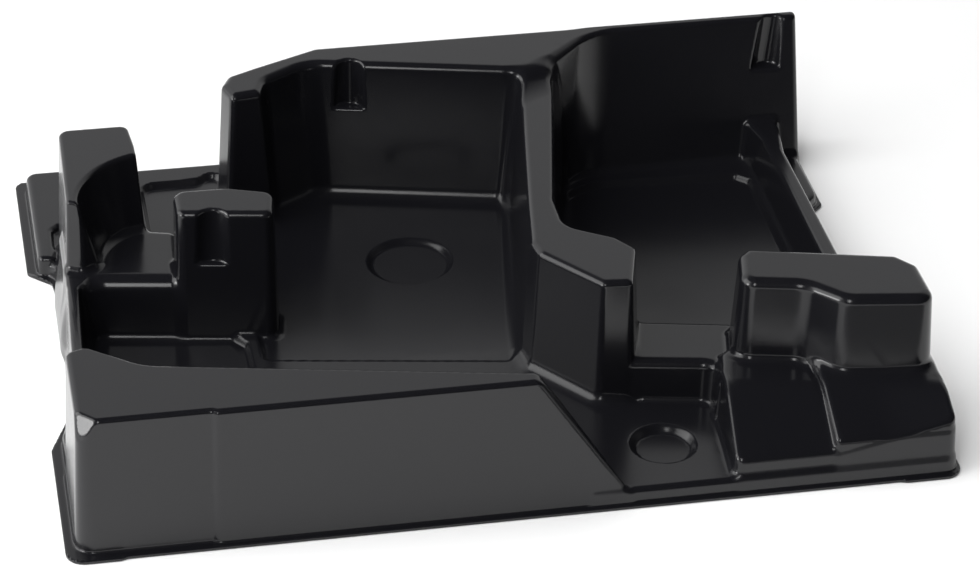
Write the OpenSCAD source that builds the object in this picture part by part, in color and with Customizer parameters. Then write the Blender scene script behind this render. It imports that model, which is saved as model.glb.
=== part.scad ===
// Formed insert for a tool case. One thin sheet drawn over a mould, open underneath,
// standing on a flat flange. Every wall has draft, so the whole top is seen from above.
// X runs left to right, Y from the front to the back, Z up from the plane it stands on.

/* [Tray] */
// width over the base flange
tray_w = 378; // [350:1:405]
// depth over the base flange
tray_d = 311; // [285:1:335]
// thickness of the formed sheet
sheet = 1.5; // [1.2:0.1:2]
// lean of the walls, degrees
draft = 3; // [2:0.5:4]
// how far the flange stands out beyond the walls
flange = 4.4; // [3:0.2:6]
// how far the flange steps in at the sides, between the corner tabs
side_step = 11.4; // [6:0.2:12]
// width of the flange along those sides
side_flange = 2.4; // [1.6:0.2:3]

/* [Floors] */
// height of the raised floor and of the outer ledge
floor_h = 8; // [7:0.5:10]
// height of the outer ledge at the rear left corner
corner_h = 11; // [9.5:0.5:13]
// height of the sunk floor of the long bays
bay_h = 5; // [4.6:0.2:6]
// depth of the two round recesses
dish_deep = 3.1; // [1.5:0.1:3.2]
// radius of the round recess in the machine bay
dish_r = 19.5; // [14:0.5:22]
// radius of the round recess in the front pad
small_dish_r = 14.5; // [10:0.5:16]

/* [Heights] */
// front left block
front_h = 64; // [56:1:68]
// round backed post at the left
post_h = 70; // [62:1:74]
// middle left block with its thumb groove
middle_h = 70; // [62:1:74]
// back wall
back_h = 74; // [68:1:80]
// narrow dividing spine and its wide front platform
spine_h = 67; // [58:1:68]
// right front block
right_h = 70; // [62:1:74]
// shelf, left rim and right sloping panel
shelf_h = 34; // [30:1:38]
// left sloping panel
panel_h = 31; // [28:1:33]
// saddle between the platform and the right front block
saddle_h = 28; // [22:1:30]
// right rim
rim_h = 26; // [20:1:30]
// front lip of the left sloping panel
lip_h = 16.5; // [14:0.5:20]
// front lip of the right sloping panel
high_lip_h = 22; // [19:0.5:24]
// outer corner of the right sloping panel
lip_corner_h = 30; // [26:0.5:33]

/* [Edges] */
// rounding of the top edges
edge_r = 2.4; // [1.6:0.1:3]
// rounding of the thin top edges
thin_edge_r = 1.6; // [1.2:0.1:1.8]
// rounding of the top edges of the right front block
right_edge_r = 4; // [2.4:0.2:4.4]
// radius of the thumb grooves at the top
groove_r = 7; // [5:0.5:8]
// how much the hollow side of the post leans
post_lean = 13; // [6:1:14]

/* [Hidden] */
lean = tan(draft);
// the plan was laid out on a base of this size and follows the base when it changes
plan = [378, 311];
kx = tray_w / plan[0];
ky = tray_d / plan[1];
arc = 3;
eps = 0.01;

// plan points in the frame of the part, from the front left corner of the base
function at(p) = [p[0] * kx - tray_w / 2, p[1] * ky - tray_d / 2];
function all_at(pts) = [for (p = pts) at(p)];
function heading(a, b) = atan2(b[1] - a[1], b[0] - a[0]);
function wrap(a) = a > 180 ? a - 360 : a <= -180 ? a + 360 : a;

// rounded corner of an outline that is moved outward by d, radius r before the move;
// least holds the smallest radii of outer and inner corners, so that no arc turns over
function corner(a, b, c, r, d, least) = let (
    from = heading(a, b) - 90,
    turn = wrap(heading(b, c) - 90 - from),
    bend = turn >= 0 ? max(r, least[0]) : -max(r, least[1]),
    mid = from + turn / 2,
    centre = b - bend / cos(turn / 2) * [cos(mid), sin(mid)]
) [for (i = [0:arc]) let (w = from + turn * i / arc) centre + (bend + d) * [cos(w), sin(w)]];

function radius_at(r, i) = is_list(r) ? r[i] : r;
function ring(pts, r, d, least = [0, 0]) = let (n = len(pts))
    [for (i = [0:n - 1]) each corner(pts[(i + n - 1) % n], pts[i], pts[(i + 1) % n], radius_at(r, i), d, least)];
function blend(a, b, k) = [for (i = [0:len(a) - 1]) a[i] * (1 - k) + b[i] * k];

// closed skin over rings of equal length, lowest first
module skin(rings, zs) {
    m = len(rings[0]);
    last = len(zs) - 1;
    points = [for (j = [0:last]) for (p = rings[j]) [p[0], p[1], zs[j]]];
    sides = [for (j = [0:last - 1]) for (i = [0:m - 1])
        let (a = j * m + i, b = j * m + (i + 1) % m)
        each [[a, a + m, b + m], [a, b + m, b]]];
    polyhedron(
        points = points,
        faces = concat([[for (i = [0:m - 1]) i]], sides, [[for (i = [m - 1:-1:0]) last * m + i]]),
        convexity = 8
    );
}

// drafted block: outline of its top, height, corner radii, edge rounding, inset of the sheet
module block(top, h, r, e, t) {
    z = h - t;
    f = max(e - t * 0.7, 0.3);
    zs = [-eps - (t > 0 ? 1 : 0), z - f, z - f * 0.5, z - f * 0.13, z];
    ds = [h * lean, f * lean, -f * 0.13, -f * 0.5, -f];
    skin([for (k = [0:4]) ring(all_at(top), r, ds[k] - t, [f + t + 0.1, h * lean + 0.2])], zs);
}

// block with a foot outline of its own, for walls that lean more
module leaning_block(foot, top, h, r, e, t) {
    z = h - t;
    f = max(e - t * 0.7, 0.3);
    zs = [-eps - (t > 0 ? 1 : 0), z - f, z - f * 0.5, z - f * 0.13, z];
    ds = [0, 0, -f * 0.13, -f * 0.5, -f];
    outlines = [for (k = [0:4]) blend(all_at(foot), all_at(top), min(1, max(0, zs[k] / h)))];
    skin([for (k = [0:4]) ring(outlines[k], r, ds[k] - t, [f + t + 0.1, 0])], zs);
}

// sunk floor, cut down from the raised floor
module sunk(outline, h, r, t) {
    zs = [h - t, h - t + 1, floor_h + 4];
    ds = [-1, 0, 2];
    skin([for (k = [0:2]) ring(all_at(outline), r, ds[k] + t)], zs);
}

// upright groove between two round ends
module groove(low, high, r_low, r_high, t) {
    hull() {
        translate([at(low)[0], at(low)[1], low[2] - t]) cylinder(h = 1, r = r_low + t, $fn = 24);
        translate([at(high)[0], at(high)[1], high[2] + 2]) cylinder(h = 1, r = r_high + t, $fn = 24);
    }
}

// round recess with a sloping side
module dish(p, h, r, t) {
    hull() {
        translate([at(p)[0], at(p)[1], h - dish_deep - t]) cylinder(h = 0.5, r = r - 4 + t, $fn = 40);
        translate([at(p)[0], at(p)[1], h - t]) cylinder(h = 3, r = r - 0.8 + t, $fn = 40);
    }
}

// thin plate at a height, a station of a convex panel
module station(pts, z, t) {
    translate([0, 0, z - t - 0.1]) linear_extrude(0.1) offset(delta = -t) polygon(all_at(pts));
}

side = side_step + side_flange;
front_y = flange - 1;
left_x = flange + 0.8;
right_x = plan[0] - 3;
rear_y = plan[1] - 8;

// low outer body that everything stands on
module ledge(t) {
    outline = [
        [left_x, 12], [222, 12], [228, front_y], [right_x, front_y], [right_x, 84], [plan[0] - side, 104],
        [plan[0] - side, 216], [right_x, 228], [right_x, rear_y], [left_x, rear_y],
        [left_x, 228], [side, 218], [side, 150], [side - 3, 104], [left_x, 84]
    ];
    block(outline, floor_h, [3, 2, 2, 5, 8, 7, 7, 8, 5, 5, 8, 7, 12, 12, 8], edge_r, t);
    // its rear left corner stands higher
    block(
        [[12.6, 222.6], [13.4, 248], [17, 252], [45, 252], [45, rear_y], [left_x, rear_y], [left_x, 223.6]],
        corner_h, [2, 4, 3, 3, 3, 5, 3], edge_r, t
    );
}

// machine bay on the left of the spine, running behind the middle block
machine_bay = [
    [97, 126.5], [203, 108], [216, 124], [233, 252], [143, 272.6], [118, 259],
    [112, 247], [98, 253], [97, 300], [86, 289], [58, 288.4], [58, 170], [97, 148]
];
side_bay = [
    [238, 96], [300, 80], [347, 72], [347, 246], [341, 252], [272, 255.4], [256, 247], [230, 162], [224, 128]
];
// low pocket behind the front left block, parted from the machine bay by a narrow ridge
front_bay = [[22, 104], [60, 84], [91.6, 78], [91.6, 142], [85, 151], [58, 160], [24, 169]];

module front_block(t) {
    block(
        [[7.4, 7.8], [61.4, 7.8], [63.4, 6.5], [196, 6.5], [190.4, 15], [38, 46], [16, 63.8], [7.4, 60.6]],
        front_h, [5, 3, 3, 2.5, 4, 20, 4, 4], edge_r, t
    );
    // its right end runs down to the front pad as a thin sloping web
    hull() {
        station([[180, 6.8], [193.4, 6.8], [189, 14.2], [180, 16.2]], front_h - 1.8, t);
        station([[176, 3.6], [231, 3.6], [229, 8.2], [189, 18], [176, 20.4]], floor_h, t);
    }
}

module corner_facet(t) {
    hull() {
        for (p = [[6, 19.5, 66], [20.5, 5, 66], [4, 3, 66], [6.6, 7.2, 50]])
            translate([at(p)[0] + t, at(p)[1] + t, p[2] - 66 + front_h + 2 - t]) cube(0.1, center = true);
    }
}

module shelf(t) {
    block(
        [[10.2, 50], [15.6, 50], [17.5, 112], [20.2, 174], [21, 200], [15.6, 200], [15.2, 174], [12.6, 118]],
        shelf_h, [1.6, 1.6, 8, 8, 1.6, 1.6, 8, 8], thin_edge_r, t
    );
    block(
        [[15.8, 152], [26, 160], [62, 152.6], [65, 199], [50, 204], [15.8, 204]],
        shelf_h, [4.4, 12, 4.5, 6, 6, 4.4], 4, t
    );
}

// post whose right side is hollowed by a cone that narrows downward
module post(t) {
    low = 20;
    narrow = 39 - (post_h - low) * tan(post_lean);
    difference() {
        block(
            [[17, 171.6], [22.3, 169], [31, 174], [51.6, 176], [51, 218], [49.6, 236], [18.6, 236]],
            post_h, [1.8, 1.8, 4, 2, 6, 4, 5], thin_edge_r, t
        );
        translate([at([61, 171])[0], at([61, 171])[1], low - t])
            cylinder(h = post_h - low + 1, r1 = narrow + t, r2 = 39.2 + t, $fn = 72);
    }
}

module middle_block(t) {
    difference() {
        block([[63.4, 153.6], [104.6, 146.6], [107.6, 166.4], [88, 173.4], [63.4, 173.8]], middle_h, [3.6, 3.6, 4, 8, 5], edge_r, t);
        groove([76.8, 145, middle_h - 26], [78, 147.7, middle_h], groove_r + 2.2, groove_r + 0.3, t);
    }
}

back_top = [
    [99, 248], [112.5, 250.5], [116, 262], [137, 275.6], [230.7, 253.6], [252.8, 262.8], [276.4, 284.6],
    [376.2, 284.9], [376.2, 290.4], [143, 289.6], [112, 275], [99.5, 268.6], [95.5, 260]
];
back_foot = [
    [94, 243.6], [116.4, 246], [121, 257], [141, 269.6], [226.4, 249.4], [246, 222], [256.2, 260.4],
    [376.4, 262.4], [376.4, 293.6], [141, 293.4], [110, 279], [96, 272], [91.6, 262]
];
module back_wall(t) {
    difference() {
        leaning_block(back_foot, back_top, back_h, [3, 3, 7, 8, 14, 10, 30, 2.2, 2.2, 8, 8, 5, 4], thin_edge_r + 0.3, t);
        groove([155.7, 267.3, back_h - 23.5], [156.1, 268.3, back_h], groove_r + 0.7, groove_r - 0.1, t);
        groove([360, 276.1, back_h - 24], [364, 281.4, back_h], groove_r + 0.2, groove_r - 0.5, t);
    }
}

module spine(t) {
    block(
        [
            [235.5, 72], [248, 71], [255.5, 99], [249, 109], [229, 122], [229, 146], [247.5, 238], [250, 258],
            [237, 260], [232, 238], [217, 145], [212, 111.5], [213.5, 101]
        ],
        spine_h, [3, 3, 4, 8, 13, 20, 12, 2.6, 2.6, 12, 20, 8, 6], edge_r, t
    );
    // swept up into the back wall
    hull() {
        station([[233.6, 243], [246.6, 241], [252, 262], [236, 264]], spine_h - 0.2, t);
        station([[232, 256.4], [247, 260.4], [251, 268], [232, 268]], back_h - 1.4, t);
    }
}

module saddle(t) {
    block([[254.6, 66.6], [294, 60.4], [300, 92.5], [261.4, 102.6]], saddle_h, 3.4, edge_r, t);
}

module right_block(t) {
    block(
        [[292, 59.5], [318.5, 53.6], [332.5, 38.6], [370, 33], [370, 61], [363, 70.4], [301, 86], [296.4, 81]],
        right_h, [3.4, 6, 5, 4, 5, 5, 4, 4], right_edge_r, t
    );
    // left sloping panel under it
    hull() {
        station([[284.4, 40], [322, 33], [322, 66], [286, 66], [281.6, 55]], panel_h, t);
        station([[280.6, 5.2], [322, 5.2], [322, 29], [282, 37]], lip_h, t);
        station([[276.6, 3.8], [322, 3.8], [322, 66], [283, 66], [281, 50]], floor_h - 1, t);
    }
    // right sloping panel, whose outer corner stands higher
    hull() {
        station([[322.6, 36], [349, 30.4], [371.6, 30.4], [371.6, 60], [322.6, 60]], shelf_h, t);
        station([[321, 5.2], [349, 5.4], [349, 30], [322, 36]], high_lip_h, t);
        station([[371, 11], [373.4, 11], [373.4, 30], [371, 30]], lip_corner_h, t);
        station([[320, 3.8], [375, 3.8], [375, 60], [320, 60]], floor_h - 1, t);
    }
}

module right_rim(t) {
    leaning_block(
        [[346, 66], [362.6, 66], [362.6, 240], [366, 262], [366, 292], [336, 290], [345, 270], [347, 256]],
        [[354, 66], [361, 66], [361, 240], [364.4, 262], [364.4, 290], [346, 288], [350.4, 270], [354, 252]],
        rim_h, [1.8, 1.8, 20, 8, 3, 3, 8, 12], thin_edge_r + 0.3, t
    );
}

module form(t) {
    difference() {
        union() {
            difference() {
                ledge(t);
                sunk(machine_bay, bay_h, [4, 4, 5, 6, 5, 5, 5, 4, 5, 8, 8, 8, 8], t);
                sunk(side_bay, bay_h, [4, 4, 4, 4, 4, 20, 16, 20, 10], t);
                sunk(front_bay, bay_h, [6, 6, 3, 4, 4, 6, 6], t);
            }
            front_block(t);
            shelf(t);
            post(t);
            middle_block(t);
            back_wall(t);
            spine(t);
            saddle(t);
            right_block(t);
            right_rim(t);
        }
        corner_facet(t);
        dish([174.5, 203], bay_h, dish_r, t);
        dish([255, 34.5], floor_h, small_dish_r, t);
    }
}

module base_flange() {
    outline = [
        [0, 0], [22, 0], [25, 1], [350, 1], [353, 0], [plan[0], 0], [plan[0], 82],
        [plan[0] - side_step + 3, 104], [plan[0] - side_step, 150], [plan[0] - side_step, 217],
        [plan[0], 228], [plan[0], plan[1]], [0, plan[1]], [0, 227], [6, 221], [side_step - 1, 217],
        [side_step, 207], [side_step, 150], [side_step - 3, 104], [0, 82]
    ];
    radii = [8, 3, 3, 3, 3, 8, 4, 6, 12, 4, 3, 5, 5, 4, 4, 4, 8, 12, 8, 4];
    linear_extrude(sheet) polygon(ring(all_at(outline), radii, 0));
}

module case_insert() {
    color([0.05, 0.05, 0.055])
    difference() {
        union() {
            intersection() {
                form(0);
                translate([-tray_w, -tray_d, 0]) cube([2 * tray_w, 2 * tray_d, 200]);
            }
            base_flange();
        }
        form(sheet);
    }
}

case_insert();
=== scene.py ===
"""Looks of a formed tool case insert: one glossy black sheet drawn over a mould, on a pale floor."""

import math

import bpy
import numpy as np
from mathutils import Matrix, Vector


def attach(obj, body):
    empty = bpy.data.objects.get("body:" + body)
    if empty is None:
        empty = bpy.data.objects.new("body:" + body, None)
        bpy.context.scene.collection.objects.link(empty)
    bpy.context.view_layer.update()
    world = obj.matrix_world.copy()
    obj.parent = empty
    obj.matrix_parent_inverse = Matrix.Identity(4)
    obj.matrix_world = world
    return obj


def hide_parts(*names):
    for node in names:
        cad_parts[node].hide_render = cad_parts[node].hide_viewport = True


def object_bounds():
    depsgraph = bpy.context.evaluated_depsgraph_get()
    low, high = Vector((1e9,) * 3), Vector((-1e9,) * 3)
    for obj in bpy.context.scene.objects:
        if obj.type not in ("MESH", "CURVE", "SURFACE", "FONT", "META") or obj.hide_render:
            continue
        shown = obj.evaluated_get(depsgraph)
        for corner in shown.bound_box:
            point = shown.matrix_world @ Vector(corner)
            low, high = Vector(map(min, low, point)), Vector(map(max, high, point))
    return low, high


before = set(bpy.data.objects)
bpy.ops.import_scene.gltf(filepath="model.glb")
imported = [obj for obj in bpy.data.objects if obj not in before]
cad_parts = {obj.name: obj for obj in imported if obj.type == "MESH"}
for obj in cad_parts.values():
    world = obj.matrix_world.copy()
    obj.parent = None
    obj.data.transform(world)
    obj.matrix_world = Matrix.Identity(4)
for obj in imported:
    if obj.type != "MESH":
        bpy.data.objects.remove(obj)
cad_low, cad_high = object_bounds()


# The formed sheet: a single thin plastic skin, pulled over a mould in one go and left open below. It rises
# from a flat flange into a ledge, hollow blocks and a dividing spine, with drafted walls round sunk bays.
# Its sizes are in mm, with plan points measured from the base's front left corner.
WIDTH, DEPTH, HEIGHT = (round(1000 * (far - near), 1) for near, far in zip(cad_low, cad_high))
SHEET = 1.5
LEAN = math.tan(math.radians(3))
FLOOR, BAY, CORNER, SADDLE, SHELF = 8.0, 5.0, 11.0, 28.0, 34.0
PANEL, FRONT, SPINE, BLOCK, RIM = 31.0, 64.0, 67.0, 70.0, 26.0


def outline(corners, radii, top=None, height=1.0):
    """Closed outline in plan, a radius for each corner; with top it changes evenly up to that at height."""
    foot = np.array(corners, float)
    top = foot if top is None else np.array(top, float)
    return {
        "foot": foot,
        "top": top,
        "height": height,
        "radii": np.broadcast_to(np.array(radii, float), len(foot)),
        "low": np.minimum(foot, top).min(0),
        "high": np.maximum(foot, top).max(0),
    }


def distance(shape, x, y, z=0.0, reach=30.0):
    """Signed distance in plan to an outline at height z, positive outside, and its direction.

    An arc's centre lies on the corner's bisector at radius / cos(half the turn), outside at an inner corner.
    Of all arcs and straight runs the nearest wins. Past reach from the outline's box, the distance to that
    box is taken instead.
    """
    (x0, y0), (x1, y1) = shape["low"], shape["high"]
    away = np.maximum(np.maximum(x0 - x, x - x1), np.maximum(y0 - y, y - y1))
    d = np.maximum(away, reach)
    gx, gy = np.zeros_like(d), np.ones_like(d)
    near = away < reach
    px, py = x[near], y[near]
    k = np.clip(z / shape["height"], 0, 1)
    k = k[near] if np.ndim(k) else np.array([k])
    p = shape["foot"][:, :, None] * (1 - k) + shape["top"][:, :, None] * k
    run = np.roll(p, -1, axis=0) - p
    side = np.linalg.norm(run, axis=1)
    ahead = run / side[:, None]
    behind = np.roll(ahead, 1, axis=0)
    turn = np.arctan2(behind[:, 0] * ahead[:, 1] - behind[:, 1] * ahead[:, 0], (behind * ahead).sum(1))
    sign = np.where(turn >= 0, 1.0, -1.0)
    out = np.stack([behind[:, 1] + ahead[:, 1], -behind[:, 0] - ahead[:, 0]], 1)
    out /= np.linalg.norm(out, axis=1)[:, None]
    r = shape["radii"][:, None]
    centre = p - (sign * r / np.cos(turn / 2))[:, None] * out
    cut = r * np.tan(np.abs(turn) / 2)
    start = p + ahead * cut[:, None]
    length = np.maximum(side - cut - np.roll(cut, -1, axis=0), 1e-6)
    half = np.cos(turn / 2)
    best = np.full(px.shape, 1e9)
    s, nx, ny = np.zeros_like(best), np.zeros_like(best), np.zeros_like(best)
    for i in range(len(p)):
        u, v = ahead[i]
        t = (px - start[i, 0]) * u + (py - start[i, 1]) * v
        e = (px - start[i, 0]) * v - (py - start[i, 1]) * u
        far = np.hypot(e, t - np.clip(t, 0, length[i]))
        won = far < best
        best = np.where(won, far, best)
        s = np.where(won, np.copysign(far, e), s)
        nx, ny = np.where(won, v, nx), np.where(won, -u, ny)
        vx, vy = px - centre[i, 0], py - centre[i, 1]
        long = np.hypot(vx, vy) + 1e-12
        far = np.abs(long - r[i])
        won = ((vx * out[i, 0] + vy * out[i, 1]) * sign[i] > long * half[i]) & (far < best)
        best = np.where(won, far, best)
        s = np.where(won, (long - r[i]) * sign[i], s)
        nx, ny = np.where(won, vx / long * sign[i], nx), np.where(won, vy / long * sign[i], ny)
    d[near], gx[near], gy[near] = s, nx, ny
    return d, gx, gy


def meet(a, b, r):
    """Where both solids are, its outer edge rounded: the larger field, with a circular corner of radius r."""
    return np.minimum(np.maximum(a, b), -r) + np.hypot(np.maximum(a + r, 0), np.maximum(b + r, 0))


def join(a, b, r):
    """Where either solid is, its inner edge filled: the smaller field, with a circular fillet of radius r."""
    return np.maximum(np.minimum(a, b), r) - np.hypot(np.maximum(r - a, 0), np.maximum(r - b, 0))


def ramp(t):
    """0 below 0, 1 above 1, and between them 3 t squared minus 2 t cubed."""
    t = np.clip(t, 0, 1)
    return t * t * (3 - 2 * t)


outlines = {
    "flange": outline(
        [(0, 0), (22, 0), (25, 1), (350, 1), (353, 0), (378, 0), (378, 82), (369.6, 104), (366.6, 150),
         (366.6, 217), (378, 228), (378, 311), (0, 311), (0, 227), (6, 221), (10.4, 217), (11.4, 207),
         (11.4, 150), (8.4, 104), (0, 82)],
        [8, 3, 3, 3, 3, 8, 4, 6, 12, 4, 3, 5, 5, 4, 4, 4, 4, 12, 8, 4]),
    "ledge": outline(
        [(5.2, 12), (212, 12), (218, 3.4), (375, 3.4), (375, 84), (364.2, 104), (364.2, 216), (375, 228),
         (375, 303), (5.2, 303), (5.2, 228), (13.8, 218), (13.8, 150), (10.8, 104), (5.2, 84)],
        [3, 2, 2, 5, 8, 7, 7, 8, 5, 5, 8, 7, 12, 12, 8]),
    "corner": outline(
        [(12.6, 222.6), (13.4, 248), (17, 252), (45, 252), (45, 303), (5.2, 303), (5.2, 223.6)],
        [2, 4, 3, 3, 3, 5, 3]),
    "machine_bay": outline(
        [(97, 126.5), (203, 108), (216, 124), (233, 252), (143, 272.6), (118, 259), (112, 247), (98, 253),
         (97, 300), (86, 289), (58, 288.4), (58, 170), (97, 148)],
        [4, 4, 5, 6, 5, 5, 5, 4, 5, 8, 8, 8, 8]),
    "side_bay": outline(
        [(238, 96), (300, 80), (347, 72), (347, 246), (341, 252), (272, 255.4), (256, 247), (230, 162),
         (224, 128)],
        [4, 4, 4, 4, 4, 20, 16, 20, 10]),
    "front_bay": outline(
        [(22, 104), (60, 84), (91.6, 78), (91.6, 142), (85, 151), (58, 160), (24, 169)],
        [6, 6, 3, 4, 4, 6, 6]),
    "front": outline(
        [(7.4, 7.8), (61.4, 7.8), (63.6, 6.5), (236, 6.5), (236, 8.4), (190.4, 15), (38, 46), (16, 63.8),
         (7.4, 60.6)],
        [5, 2.5, 2.5, 0.9, 0.9, 8, 24, 5, 4]),
    "rim": outline(
        [(10.2, 50), (15.6, 50), (17.5, 112), (20.2, 174), (21, 200), (15.6, 200), (15.2, 174), (12.6, 118)],
        [1.6, 1.6, 8, 8, 1.6, 1.6, 8, 8]),
    "shelf": outline(
        [(15.8, 152), (26, 161.4), (66, 154.6), (68, 199), (50, 204), (15.8, 204)],
        [4.4, 12, 4.5, 6, 6, 4.4]),
    "post": outline(
        [(17, 171.6), (22.3, 169), (31, 174), (51.6, 176), (51, 218), (49.6, 236), (18.6, 236)],
        [1.8, 1.8, 4, 2, 6, 4, 5]),
    "middle": outline(
        [(63.4, 154), (104.6, 147), (107.6, 166.4), (88, 173.4), (63.4, 173.8)], [4.5, 4, 6, 8, 6]),
    "back": outline(
        [(94, 243.6), (116.4, 246), (121, 257), (141, 269.6), (226.4, 249.4), (246, 222), (256.2, 260.4),
         (376.4, 262.4), (376.4, 293.6), (141, 293.4), (110, 279), (96, 272), (91.6, 262)],
        [3, 3, 9, 20, 14, 10, 30, 3.2, 2, 8, 8, 5, 4],
        [(99, 248), (112.5, 250.5), (116, 262), (137, 275.6), (230.7, 253.6), (252.8, 262.8), (276.4, 284.6),
         (376.2, 284.9), (376.2, 290.4), (143, 289.6), (112, 275), (99.5, 268.6), (95.5, 260)],
        HEIGHT),
    "spine": outline(
        [(235.5, 72), (248, 71), (255.5, 99), (249, 109), (229, 122), (229, 146), (247.5, 238), (250, 258),
         (237, 260), (232, 238), (217, 145), (212, 111.5), (213.5, 101)],
        [3, 3, 4, 8, 13, 20, 12, 2.6, 2.6, 12, 20, 8, 6]),
    "saddle": outline([(236, 71.5), (294, 60.4), (300, 92.5), (246, 104)], 3.4),
    "right": outline(
        [(292, 59.5), (318.5, 53.6), (332.5, 38.6), (370, 33), (370, 61), (363, 70.4), (301, 86),
         (296.4, 81)],
        [7, 16, 12, 7, 5, 5, 4, 4]),
    "left_panel": outline([(279.8, 5.6), (322, 5.6), (322, 66), (287, 66), (283.4, 52)], [3, 1, 1, 3, 6]),
    "right_panel": outline([(322.6, 5.4), (373.6, 5.4), (373.6, 60), (322.6, 60)], [2, 3, 3, 3]),
    "right_rim": outline(
        [(346, 66), (362.6, 66), (362.6, 240), (366, 262), (366, 292), (336, 290), (345, 270), (347, 256)],
        [1.8, 1.8, 20, 8, 3, 3, 8, 12],
        [(354, 66), (361, 66), (361, 240), (364.4, 262), (364.4, 290), (346, 288), (350.4, 270), (354, 252)],
        RIM),
}
LEANING = ("back", "right_rim")


def plane(x, y, z, a, b, c):
    """Distance above the plane through three points that run anticlockwise seen from above."""
    a, b, c = np.array(a, float), np.array(b, float), np.array(c, float)
    n = np.cross(b - a, c - a)
    n /= np.linalg.norm(n)
    return (x - a[0]) * n[0] + (y - a[1]) * n[1] + (z - a[2]) * n[2]


def mould(d, x, y, z):
    """Field of the mould, about the distance to it in mm and negative inside it, from the plan distances d.

    A block is where its drafted side, the plan distance less the depth below its top times the lean, meets
    its top. Blocks are joined to the floor one after another with a fillet at each foot.
    """

    def block(side, h, edge):
        """A block of height h with its top edge rounded."""
        return meet(side + (z - h) * LEAN, z - h, edge)

    def dish(cx, cy, r, wide, deep):
        """Depth of a round recess: full inside, with a soft slope of the given width inside its radius."""
        return deep * ramp((r - np.hypot(x - cx, y - cy)) / wide)

    def groove(low, high, r_low, r_high):
        """A tapered round groove for a thumb between two points on its axis, closed at its lower end."""
        k = (z - low[2]) / (high[2] - low[2])
        cx, cy = low[0] + k * (high[0] - low[0]), low[1] + k * (high[1] - low[1])
        return meet(np.hypot(x - cx, y - cy) - r_low - k * (r_high - r_low), low[2] - z, 1.2)

    def bay(name, front, sag=0.0):
        """Depth of a sunk bay: it falls from its front edge over 90 mm, as a parabola, and sags."""
        fall = 1 - 0.7 * np.clip(1 - (y - front) / 90, 0, 1) ** 2
        return ramp(0.4 - d[name] / 3) * ((FLOOR - BAY) * fall + sag)

    floor = FLOOR - bay("machine_bay", 118, dish(150, 182, 84, 84, 1.3)) - bay("front_bay", 0)
    floor = floor - bay("side_bay", 90, dish(292, 165, 85, 85, 1.8))
    floor = floor - dish(174.5, 204.6, 20.3, 3.6, 2.4) - dish(255, 34.5, 15, 4, 3.3)
    form = meet(d["ledge"] + (z - FLOOR) * LEAN, z - floor, 2.4)
    form = join(form, block(d["corner"], CORNER, 2.2), 1)

    # The front left block: its right end runs down as a thin web, and its front left corner is cut off.
    front = block(d["front"], FRONT, 2.2)
    front = meet(front, plane(x, y, z, (195.5, 0, FRONT), (235, 0, 5), (235, 20, 5)), 2.0)
    front = meet(front, plane(x, y, z, (6, 19.5, 66), (6.6, 7.2, 50), (20.5, 5, 66)), 0.9)
    front = meet(front, (y - 4.8 - (235 - x) * 0.27) * 0.965, 0.9)
    form = join(form, front, 2.2)

    # The left rim runs into the low shelf, and the post on it is hollowed by a leaning cone.
    low = join(d["rim"], d["shelf"], 3 + 10 * ramp((30 - z) / 24))
    form = join(form, block(low, SHELF + 1.2, 1.6 + 4.7 * ramp((x - 19) / 7)), 4)
    cone = (39 - (BLOCK - z) * math.tan(math.radians(13)) - np.hypot(x - 61, y - 171)) * 0.974
    form = join(form, meet(block(d["post"], BLOCK, 1.7), cone, 1.7), 4)

    middle = meet(d["middle"] + (z - BLOCK) * LEAN * 0.4, z - BLOCK, 2.8)
    middle = meet(middle, -groove((76.8, 145, 44), (78, 147.7, BLOCK), 9.2, 7.3), 1.3)
    form = join(form, middle, 3)

    # The spine sweeps up into the back wall, which has two thumb grooves and a sharper edge at its thin end.
    sweep = plane(x, y, z, (231.2, 237, SPINE), (251.6, 248.6, SPINE), (238, 256.5, SPINE + 6))
    spine = meet(d["spine"] + (z - SPINE) * LEAN, join(z - SPINE, sweep, 2.5), 2.8)
    back = meet(join(spine, d["back"], 8), z - HEIGHT, 3.4 - 1.4 * ramp((x - 262) / 16))
    form = join(form, back, 6 - 2.6 * ramp((x - 236) / 20))
    form = meet(form, -groove((155.7, 267.3, 50.5), (156.1, 268.3, HEIGHT), 7.7, 6.9), 1.3)
    form = meet(form, -groove((360, 276.1, 50), (364, 281.4, HEIGHT), 7.2, 6.5), 1.3)

    # The saddle closes the gap beside the spine's platform and turns into the left panel in a round cove.
    cove = join(d["saddle"], np.maximum(d["left_panel"], 50 - y), 9)
    form = join(form, block(cove, SADDLE, 4), 0.6 + 2.4 * ramp((x - 249) / 5))

    # The two panels slope up to the right block; the right one has its front right corner bent down.
    rise = (y - 5.2) / (34.8 - (x - 284.4) * 0.186)
    left = meet(block(d["left_panel"], PANEL, 2.5), (z - 16.5 - 14.5 * rise) * 0.92, 2.2)
    rise = (y - 5.3) / (30.7 - (x - 322.6) * 0.212)
    panel = block(d["right_panel"], SHELF, 2.5)
    bend = plane(x, y, z, (349, 30.4, 34), (349, 5.4, 22), (374, 11, 30))
    right = join(meet(panel, (z - 22 - 12 * rise) * 0.92, 2.4), meet(panel, bend, 2.4), 1)
    form = join(form, join(left, right, 2), 3)
    form = join(form, block(d["right"], BLOCK, 4.2), 4)
    return join(form, meet(d["right_rim"], z - RIM, 1.9), 3)


def skin(d, x, y, z):
    """Field of the outside: the mould joined to the flange, one sheet thick, closed 2 mm below the floor."""
    return np.maximum(join(mould(d, x, y, z), meet(d["flange"], z - SHEET, 0.5), 1.2), -2 - z)


def hollow(d, x, y, z):
    """Field of the space below: the mould moved in by the sheet's thickness, closed 3 mm below the floor."""
    return np.maximum(mould(d, x, y, z) + SHEET, -3 - z)


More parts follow.
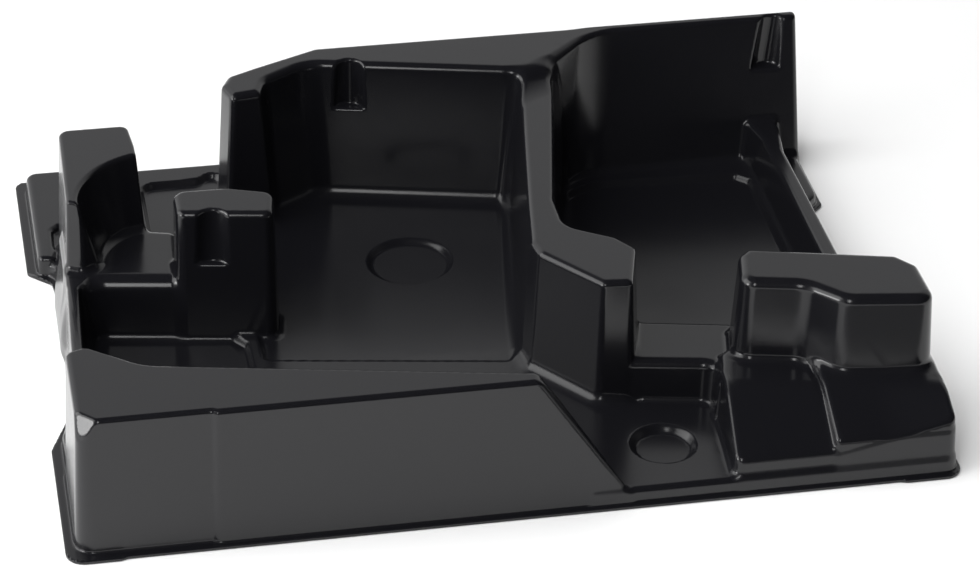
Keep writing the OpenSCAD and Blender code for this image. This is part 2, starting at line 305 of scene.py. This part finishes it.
def plan_distances(x, y, z=0.0, names=tuple(outlines)):
    """Plan distance and its direction for the named outlines, at height z where one changes with height."""
    found = {name: distance(outlines[name], x, y, z) for name in names}
    return [{name: found[name][i] for name in names} for i in range(3)]


def slope_at(field, p):
    """Field and its gradient at points: central differences, with plan distances taken as straight."""
    x, y, z = p.T
    d, gx, gy = plan_distances(x, y, z)

    def at(sx, sy, sz):
        near = {name: d[name] + sx * gx[name] + sy * gy[name] for name in d}
        if sz:
            near.update(plan_distances(x, y, z + sz, LEANING)[0])
        return field(near, x + sx, y + sy, z + sz)

    h = 0.01
    across = [at(h, 0, 0) - at(-h, 0, 0), at(0, h, 0) - at(0, -h, 0), at(0, 0, h) - at(0, 0, -h)]
    return field(d, x, y, z), np.stack(across, 1) / (2 * h)


def surface(field, step, low, high):
    """Mesh of the field's zero: a vertex in each cell that the surface crosses, at the mean of the crossings
    on its edges, a quad round each crossed grid edge, then every vertex moved onto the surface."""
    xs, ys, zs = [np.arange(low[i], high[i] + step, step) for i in range(3)]
    gx, gy = np.meshgrid(xs, ys, indexing="ij")
    d = plan_distances(gx, gy)[0]
    layers = [field({**d, **plan_distances(gx, gy, z, LEANING)[0]}, gx, gy, z) for z in zs]
    v = np.stack(layers, 2).astype(np.float32)
    inside = v < 0
    shape = np.array(v.shape) - 1
    total, count = np.zeros((*shape, 3), np.float32), np.zeros(tuple(shape), np.float32)
    for axis in range(3):
        a = np.take(v, range(shape[axis]), axis)
        b = np.take(v, range(1, shape[axis] + 1), axis)
        cross = (a < 0) != (b < 0)
        t = np.where(cross, a / np.where(cross, a - b, 1), 0)
        o1, o2 = [i for i in range(3) if i != axis]
        for i in (0, 1):
            for j in (0, 1):
                cut = [slice(None)] * 3
                cut[o1], cut[o2] = slice(i, i + shape[o1]), slice(j, j + shape[o2])
                c, k = cross[tuple(cut)], t[tuple(cut)]
                count += c
                total[..., axis] += k
                total[..., o1] += c * i
                total[..., o2] += c * j
    used = count > 0
    index = np.full(tuple(shape), -1, np.int64)
    index[used] = np.arange(used.sum())
    cells = np.argwhere(used)
    p = np.array(low, float) + step * (cells + total[used] / count[used][:, None])
    quads = []
    for axis in range(3):
        o1, o2 = (axis + 1) % 3, (axis + 2) % 3
        a = np.take(inside, range(shape[axis]), axis)
        b = np.take(inside, range(1, shape[axis] + 1), axis)
        e = np.argwhere(a != b)
        e = e[(e[:, o1] > 0) & (e[:, o2] > 0) & (e[:, o1] < shape[o1]) & (e[:, o2] < shape[o2])]
        ring = []
        for i, j in ((1, 1), (0, 1), (0, 0), (1, 0)):
            q = e.copy()
            q[:, o1] -= i
            q[:, o2] -= j
            ring.append(index[tuple(q.T)])
        ring = np.stack(ring, 1)
        flip = ~a[tuple(e.T)]
        ring[flip] = ring[flip][:, ::-1]
        quads.append(ring)
    for _ in range(3):
        here, g = slope_at(field, p)
        move = -here[:, None] * g / np.maximum((g * g).sum(1), 0.2)[:, None]
        p += np.clip(move, -0.5 * step, 0.5 * step)
    return p, np.concatenate(quads)


def mesh_object(name, p, faces):
    """Object from points in mm, measured from the base's front left corner, and quads."""
    mesh = bpy.data.meshes.new(name)
    mesh.vertices.add(len(p))
    mesh.vertices.foreach_set("co", ((p - [WIDTH / 2, DEPTH / 2, 0]) / 1000).astype(np.float32).ravel())
    mesh.loops.add(faces.size)
    mesh.loops.foreach_set("vertex_index", faces.ravel().astype(np.int32))
    mesh.polygons.add(len(faces))
    mesh.polygons.foreach_set("loop_start", np.arange(0, faces.size, faces.shape[1], dtype=np.int32))
    mesh.update(calc_edges=True)
    obj = bpy.data.objects.new(name, mesh)
    bpy.context.scene.collection.objects.link(obj)
    return obj


def applied(obj, kind, **settings):
    """The object's mesh after one modifier."""
    modifier = obj.modifiers.new(kind, kind)
    for key, value in settings.items():
        setattr(modifier, key, value)
    graph = bpy.context.evaluated_depsgraph_get()
    mesh = bpy.data.meshes.new_from_object(obj.evaluated_get(graph), depsgraph=graph)
    obj.modifiers.clear()
    old, obj.data = obj.data, mesh
    bpy.data.meshes.remove(old)
    return obj


FINE, COARSE = 1.0, 1.6
OUTER_FACES, INNER_FACES = 130000, 40000

outer = mesh_object("insert_sheet", *surface(skin, FINE, (-2.5, -2.5, -3.5), (380.5, 313.5, 76.5)))
inner = mesh_object("insert_hollow", *surface(hollow, COARSE, (-2.5, -2.5, -4.5), (380.5, 313.5, 76.5)))
slab = mesh_object(
    "insert_slab",
    np.array([[x, y, z] for z in (-20.0, 0.0) for x, y in ((-20, -20), (400, -20), (400, 330), (-20, 330))]),
    np.array([[0, 3, 2, 1], [4, 5, 6, 7], [0, 1, 5, 4], [1, 2, 6, 5], [2, 3, 7, 6], [3, 0, 4, 7]]),
)
for obj, wanted in ((outer, OUTER_FACES), (inner, INNER_FACES)):
    applied(obj, "TRIANGULATE")
    applied(obj, "DECIMATE", ratio=min(1.0, wanted / len(obj.data.polygons)), use_collapse_triangulate=True)
for cutter in (slab, inner):
    applied(outer, "BOOLEAN", operation="DIFFERENCE", solver="MANIFOLD", object=cutter)
    bpy.data.objects.remove(cutter)
applied(outer, "TRIANGULATE")
# The cuts leave empty material slots behind.
outer.data.materials.clear()
outer.data.polygons.foreach_set("material_index", np.zeros(len(outer.data.polygons), np.int32))


def set_normals(obj):
    """Each corner takes the field's own direction, or its face's where they differ by over 40 degrees."""
    mesh = obj.data
    p = np.empty(len(mesh.vertices) * 3, np.float32)
    mesh.vertices.foreach_get("co", p)
    p = p.reshape(-1, 3).astype(float) * 1000 + [WIDTH / 2, DEPTH / 2, 0]
    (a, ga), (b, gb) = slope_at(skin, p), slope_at(hollow, p)
    g = np.where((np.abs(a) < np.abs(b))[:, None], ga, -gb)
    g /= np.maximum(np.linalg.norm(g, axis=1), 1e-9)[:, None]
    corner = np.empty(len(mesh.loops), np.int32)
    mesh.loops.foreach_get("vertex_index", corner)
    face = np.empty(len(mesh.polygons) * 3, np.float32)
    mesh.polygons.foreach_get("normal", face)
    face = np.repeat(face.reshape(-1, 3), 3, axis=0)
    n = g[corner]
    n = np.where(((n * face).sum(1) > math.cos(math.radians(40)))[:, None], n, face)
    mesh.polygons.foreach_set("use_smooth", np.ones(len(mesh.polygons), bool))
    mesh.normals_split_custom_set(n.tolist())


set_normals(outer)
print("sheet", len(outer.data.polygons), "faces")

# Black plastic with a hard gloss, a little duller low down where the sheet touched the mould longest, with a
# faint haze and the slight ripple of a formed sheet. Lengths are in metres, as in Object coordinates.
plastic = bpy.data.materials.new("formed_black")
plastic.use_nodes = True
tree = plastic.node_tree
shader = tree.nodes["Principled BSDF"]
shader.inputs["Base Color"].default_value = (0.0065, 0.0065, 0.008, 1)
shader.inputs["IOR"].default_value = 1.5
spot = tree.nodes.new("ShaderNodeTexCoord").outputs["Object"]
heights = tree.nodes.new("ShaderNodeSeparateXYZ")
tree.links.new(spot, heights.inputs[0])
dulling = tree.nodes.new("ShaderNodeMapRange")
for socket, number in (("From Min", 0.008), ("From Max", 0.024), ("To Min", 0.2), ("To Max", 0.155)):
    dulling.inputs[socket].default_value = number
tree.links.new(heights.outputs["Z"], dulling.inputs["Value"])


def noise(scale, detail):
    """Noise that is fixed to the piece, with scale cells to the metre."""
    node = tree.nodes.new("ShaderNodeTexNoise")
    node.inputs["Scale"].default_value = scale
    node.inputs["Detail"].default_value = detail
    tree.links.new(spot, node.inputs["Vector"])
    return node.outputs["Fac"]


haze = tree.nodes.new("ShaderNodeMath")
haze.operation = "MULTIPLY_ADD"
haze.inputs[1].default_value = 0.05
tree.links.new(noise(90, 3), haze.inputs[0])
tree.links.new(dulling.outputs["Result"], haze.inputs[2])
tree.links.new(haze.outputs[0], shader.inputs["Roughness"])
ripple = tree.nodes.new("ShaderNodeBump")
ripple.inputs["Strength"].default_value = 1
ripple.inputs["Distance"].default_value = 0.00006
tree.links.new(noise(42, 1), ripple.inputs["Height"])
tree.links.new(ripple.outputs["Normal"], shader.inputs["Normal"])
outer.data.materials.append(plastic)
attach(outer, "root")
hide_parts("case_insert")


# The studio: a pale floor, a white surround behind and to the left, a dark room at the front and the right,
# one broad soft light at the left with a brighter middle, a narrow one beside the camera, and a wide one
# overhead for the floor. Lengths are in metres.


def flat(name, x0, x1, y0, y1, z):
    """A level rectangle of the studio, and the sockets of its material."""
    mesh = bpy.data.meshes.new(name)
    mesh.from_pydata([(x0, y0, z), (x1, y0, z), (x1, y1, z), (x0, y1, z)], [], [(0, 1, 2, 3)])
    obj = bpy.data.objects.new(name, mesh)
    bpy.context.scene.collection.objects.link(obj)
    coat = bpy.data.materials.new(name)
    coat.use_nodes = True
    mesh.materials.append(coat)
    return obj, coat.node_tree.nodes["Principled BSDF"].inputs


floor, paper = flat("floor", -30, 30, -30, 30, -0.0004)
paper["Base Color"].default_value = (0.9, 0.9, 0.9, 1)
paper["Roughness"].default_value = 0.9
paper["Specular IOR Level"].default_value = 0

# A dark sheet on the floor in front of the right end glows faintly and is seen only in the gloss: a painted
# dark reflection on the fronts there, which lights nothing.
dark_mirror_patch, patch_inputs = flat("painted_dark_reflection", 0.056, 0.29, -0.42, -0.2, 0.0002)
patch_inputs["Base Color"].default_value = (0, 0, 0, 1)
patch_inputs["Specular IOR Level"].default_value = 0
patch_inputs["Emission Color"].default_value = (1, 1, 1, 1)
patch_inputs["Emission Strength"].default_value = 0.28
dark_mirror_patch.visible_camera = dark_mirror_patch.visible_diffuse = dark_mirror_patch.visible_shadow = dark_mirror_patch.visible_transmission = False

world = bpy.data.worlds.new("studio")
bpy.context.scene.world = world
world.use_nodes = True
nodes, links = world.node_tree.nodes, world.node_tree.links
sky = nodes.new("ShaderNodeTexCoord")
split = nodes.new("ShaderNodeSeparateXYZ")
links.new(sky.outputs["Generated"], split.inputs[0])


def between(name, start, end, low, high):
    """A value that goes smoothly from low to high as the direction's named part goes from start to end."""
    node = nodes.new("ShaderNodeMapRange")
    node.interpolation_type = "SMOOTHSTEP"
    links.new(split.outputs[name], node.inputs["Value"])
    for socket, number in (("From Min", start), ("From Max", end), ("To Min", low), ("To Max", high)):
        node.inputs[socket].default_value = number
    return node.outputs["Result"]


def combine(kind, a, b):
    """Sum or product of two sockets."""
    node = nodes.new("ShaderNodeMath")
    node.operation = kind
    links.new(a, node.inputs[0])
    links.new(b, node.inputs[1])
    return node.outputs[0]


back_glow = combine("MULTIPLY", between("Y", 0.1, 0.5, 0.02, 1), between("X", -0.5, 0.2, 0.95, 0.6))
back_glow = combine("MULTIPLY", back_glow, between("Z", 0.64, 0.86, 1, 0.03))
left_glow = combine("MULTIPLY", between("X", -0.9, -0.6, 0.8, 0), between("Z", 0.75, 0.95, 1, 0.2))
links.new(combine("ADD", back_glow, left_glow), nodes["Background"].inputs["Strength"])
nodes["Background"].inputs["Color"].default_value = (1, 1, 1, 1)


def soft_light(name, azimuth, elevation, far, wide, tall, radiance):
    """An area light aimed at the middle; azimuth in degrees from the front towards the left, sizes in metres.

    A radiance of 1 is that of the surround at full strength.
    """
    azimuth, elevation = math.radians(azimuth), math.radians(elevation)
    level = math.cos(elevation)
    place = Vector((-math.sin(azimuth) * level, -math.cos(azimuth) * level, math.sin(elevation)))
    data = bpy.data.lights.new(name, "AREA")
    data.shape, data.size, data.size_y = "RECTANGLE", wide, tall
    data.energy = radiance * math.pi * wide * tall
    obj = bpy.data.objects.new(name, data)
    obj.location = place * far
    obj.rotation_euler = (-place).to_track_quat("-Z", "Y").to_euler()
    obj.visible_camera = False
    bpy.context.scene.collection.objects.link(obj)
    return obj


soft_light("top_light", 60, 66, 2.2, 2.6, 2.6, 3.1).visible_glossy = False
soft_light("left_light", 88, 28, 1.7, 1.5, 1.3, 2.2)
soft_light("left_middle", 70, 14, 1.6, 0.42, 0.33, 10)
soft_light("front_strip", 22, 33, 1.9, 0.3, 0.8, 6)
bpy.context.scene.view_settings.view_transform = "Standard"

# The camera stands to the left and looks down at 32 degrees, rolled by under a degree, with a long lens. Its
# place is in mm from the base's front left corner, and the lens is in pixels of the 980 pixel wide picture.
FOCAL, PICTURE, SENSOR = 3400, 980, 36
EYE = Vector((-45.97, -1118.81, 822.49))
pitch, yaw, roll = math.radians(31.93), math.radians(-11.05), math.radians(0.856)
forward = Vector((-math.sin(yaw) * math.cos(pitch), math.cos(yaw) * math.cos(pitch), -math.sin(pitch)))
level = Vector((math.cos(yaw), math.sin(yaw), 0))
above = level.cross(forward)
right = level * math.cos(roll) + above * math.sin(roll)
above = above * math.cos(roll) - level * math.sin(roll)
camera_data = bpy.data.cameras.new("camera")
camera_data.sensor_width = SENSOR
camera_data.lens = SENSOR * FOCAL / PICTURE
camera_data.clip_end = 100
camera = bpy.data.objects.new("camera", camera_data)
turn = Matrix((right, above, -forward)).transposed().to_4x4()
camera.matrix_world = Matrix.Translation((EYE - Vector((WIDTH / 2, DEPTH / 2, 0))) / 1000) @ turn
bpy.context.scene.collection.objects.link(camera)
bpy.context.scene.camera = camera
